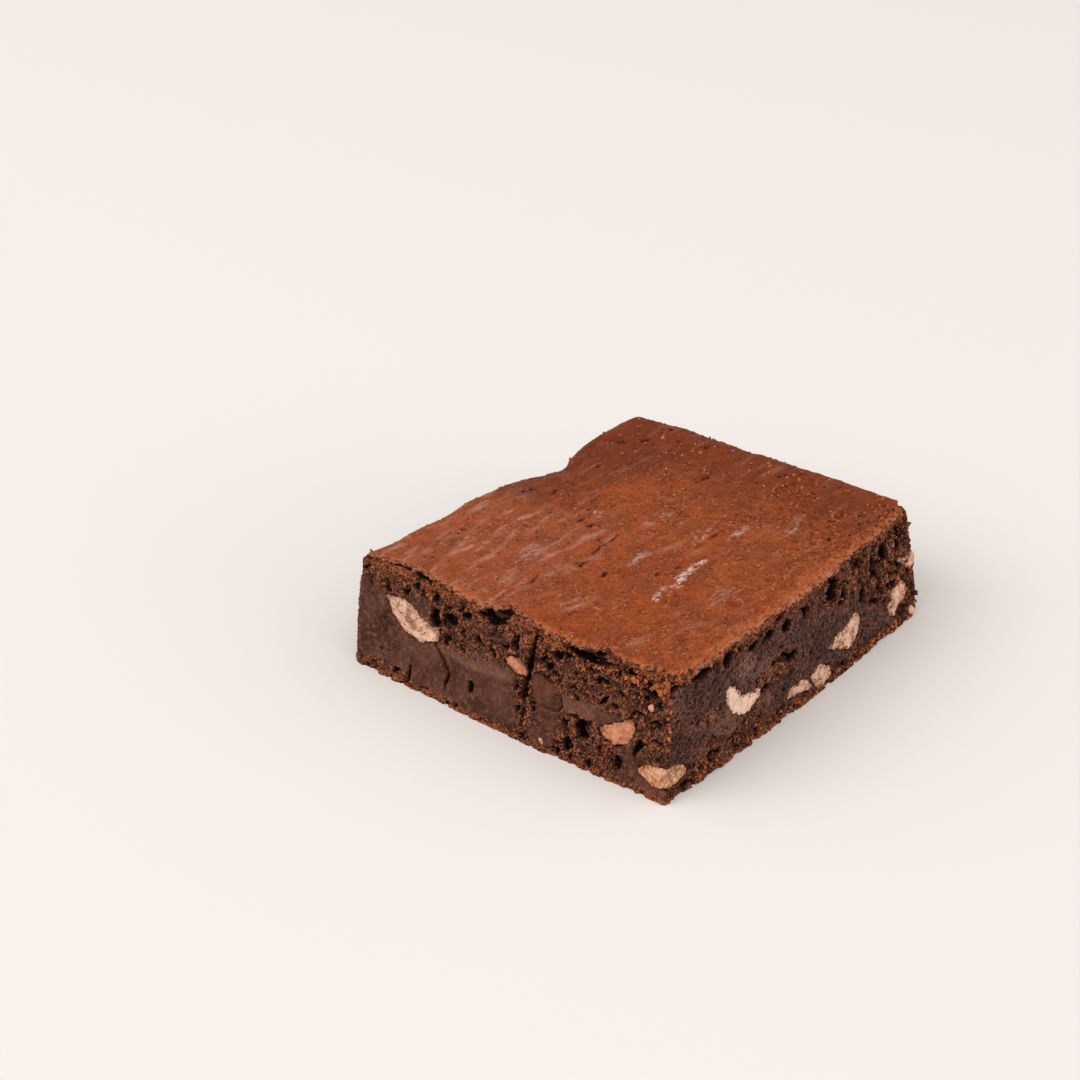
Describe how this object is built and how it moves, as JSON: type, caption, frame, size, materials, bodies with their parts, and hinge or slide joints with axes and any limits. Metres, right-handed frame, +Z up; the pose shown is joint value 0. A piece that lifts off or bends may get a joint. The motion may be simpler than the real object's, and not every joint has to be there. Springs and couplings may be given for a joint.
{
  "type": "chocolate brownie",
  "caption": "Square-cut slab of fudgy chocolate brownie with a thin crackled crust and chocolate chunks showing in its two cut faces, served whole on a plate or board.",
  "frame": {"origin": "centre of the footprint, on the plane that the brownie stands on", "axes": "+X along the longer edge, from the knife-cut west face to the tin-baked east face; +Y along the shorter edge, from the knife-cut south face to the tin-baked north face; +Z up through the crust"},
  "size_m": [0.0992, 0.0818, 0.027],
  "materials": {
    "crumb": "dense dark fudge crumb, porous and damp, with orange-brown loose crumbs",
    "crust": "thin baked crust, reddish brown, satin, with flat greyish glossy streaks",
    "chunk_milk": "pale tan chocolate with a flaky cut surface",
    "chunk_white": "smooth pinkish-cream chocolate, softly glossy",
    "chunk_caramel": "orange-tan caramel chocolate, smooth, softly glossy",
    "chunk_dark": "smooth dark chocolate, faintly glossy"
  },
  "bodies": {
    "root": {"slab": "crumb", "chunk_west_long": "chunk_milk", "chunk_west_oval": "chunk_milk", "chunk_west_dark": "chunk_dark", "chunk_west_wedge": "chunk_caramel", "chunk_south_crescent": "chunk_white", "chunk_south_low_west": "chunk_milk", "chunk_south_low_east": "chunk_milk", "chunk_south_lozenge": "chunk_milk", "chunk_south_far": "chunk_milk", "chunk_corner_front": "chunk_caramel", "chunk_corner_east": "chunk_milk"}
  },
  "joints": []
}
